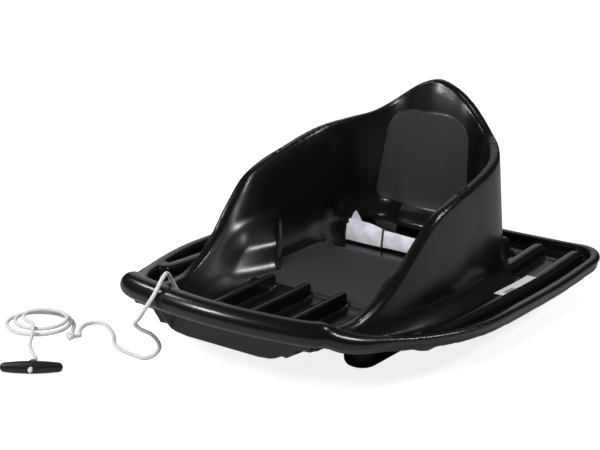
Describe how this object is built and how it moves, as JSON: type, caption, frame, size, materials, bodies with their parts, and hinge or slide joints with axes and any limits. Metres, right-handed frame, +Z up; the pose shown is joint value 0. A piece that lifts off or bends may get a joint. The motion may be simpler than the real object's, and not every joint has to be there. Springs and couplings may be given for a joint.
{
  "type": "plastic_sled",
  "caption": "Moulded plastic snow sled with a high bucket seat, round front lip, ribbed foot well, side decks, runners, a pull cord with T handle and a folded lap belt",
  "frame": {"origin": "ground level under the middle of the sled's plan box", "axes": "+Z up, -Y towards the round front lip, +X to the right-hand side of a rider who faces backwards, that is the left of a rider who faces the lip"},
  "size_m": [0.5701, 0.6393, 0.2655],
  "materials": {
    "black_plastic": "smooth glossy moulded plastic, matte fine grain on the seat floor and the back panel",
    "white_cord": "white braided cord",
    "pale_webbing": "pale woven webbing",
    "dark_elastic": "dark woven elastic",
    "black_fittings": "satin black moulded plastic",
    "white_label": "blank white adhesive label"
  },
  "bodies": {
    "root": {"sled_shell": "black_plastic", "belt_bundle": "pale_webbing", "belt_free_end": "pale_webbing", "belt_strap_left": "pale_webbing", "belt_strap_right": "pale_webbing", "buckle_socket": "black_fittings", "buckle_plug": "black_fittings", "elastic_band": "dark_elastic", "blank_label": "white_label", "cord_stop_knot": "white_cord", "hank_knot": "white_cord", "handle_knot": "white_cord", "pull_cord_lead": "white_cord", "pull_cord_hank": "white_cord", "pull_cord_tail": "white_cord", "pull_handle": "black_fittings"}
  },
  "joints": []
}
